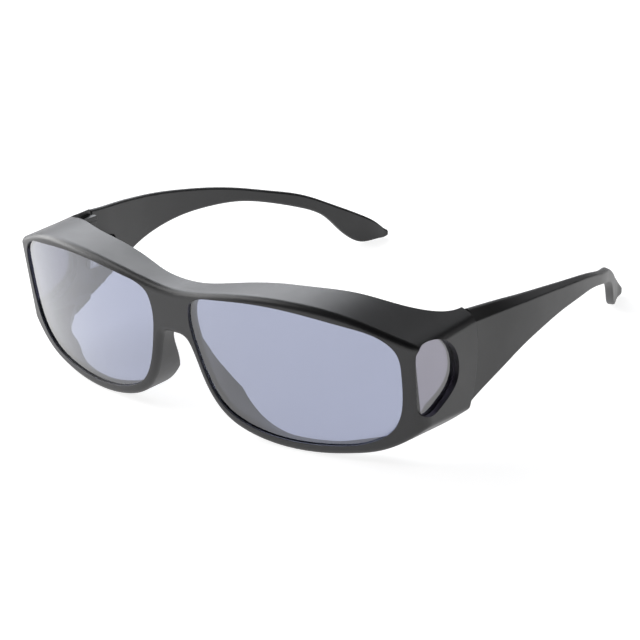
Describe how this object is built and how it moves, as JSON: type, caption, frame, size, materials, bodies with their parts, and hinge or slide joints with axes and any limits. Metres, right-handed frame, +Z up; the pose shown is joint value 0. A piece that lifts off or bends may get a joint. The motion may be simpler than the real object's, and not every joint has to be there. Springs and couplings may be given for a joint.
{
  "type": "fitover sunglasses",
  "caption": "Wrap-around sunglasses worn over other glasses, with a deep front, grey lenses, teardrop side windows and folding temples.",
  "frame": {"origin": "middle of the bottom of the box round the whole part, temples open", "axes": "+X to the wearer's left, +Y back along the temples, +Z up; the lenses face -Y"},
  "size_m": [0.1446, 0.1664, 0.0461],
  "materials": {
    "front": "matt, slightly soft",
    "temple": "matt, slightly soft",
    "lens": "polished, grey tint",
    "side_lens": "polished, grey tint",
    "hinge": "satin",
    "screw": "satin"
  },
  "bodies": {
    "front": {"front_frame": "front", "lens_left": "lens", "lens_right": "lens", "side_lens_left": "side_lens", "side_lens_right": "side_lens", "hinge_front_leaf_left": "hinge", "hinge_front_leaf_right": "hinge", "hinge_screw_left": "screw", "hinge_screw_right": "screw", "hinge_front_screws_left": "screw", "hinge_front_screws_right": "screw"},
    "temple_left": {"temple_left": "temple", "hinge_temple_leaf_left": "hinge", "hinge_temple_screws_left": "screw"},
    "temple_right": {"temple_right": "temple", "hinge_temple_leaf_right": "hinge", "hinge_temple_screws_right": "screw"}
  },
  "joints": [
    {"name": "temple_left_fold", "type": "hinge", "parent": "front", "child": "temple_left", "pos_m": [0.0648, -0.03847, 0.0239], "axis": [0, 0, 1], "range_deg": [0, 88]},
    {"name": "temple_right_fold", "type": "hinge", "parent": "front", "child": "temple_right", "pos_m": [-0.0648, -0.03847, 0.0239], "axis": [0, 0, -1], "range_deg": [0, 80]}
  ]
}
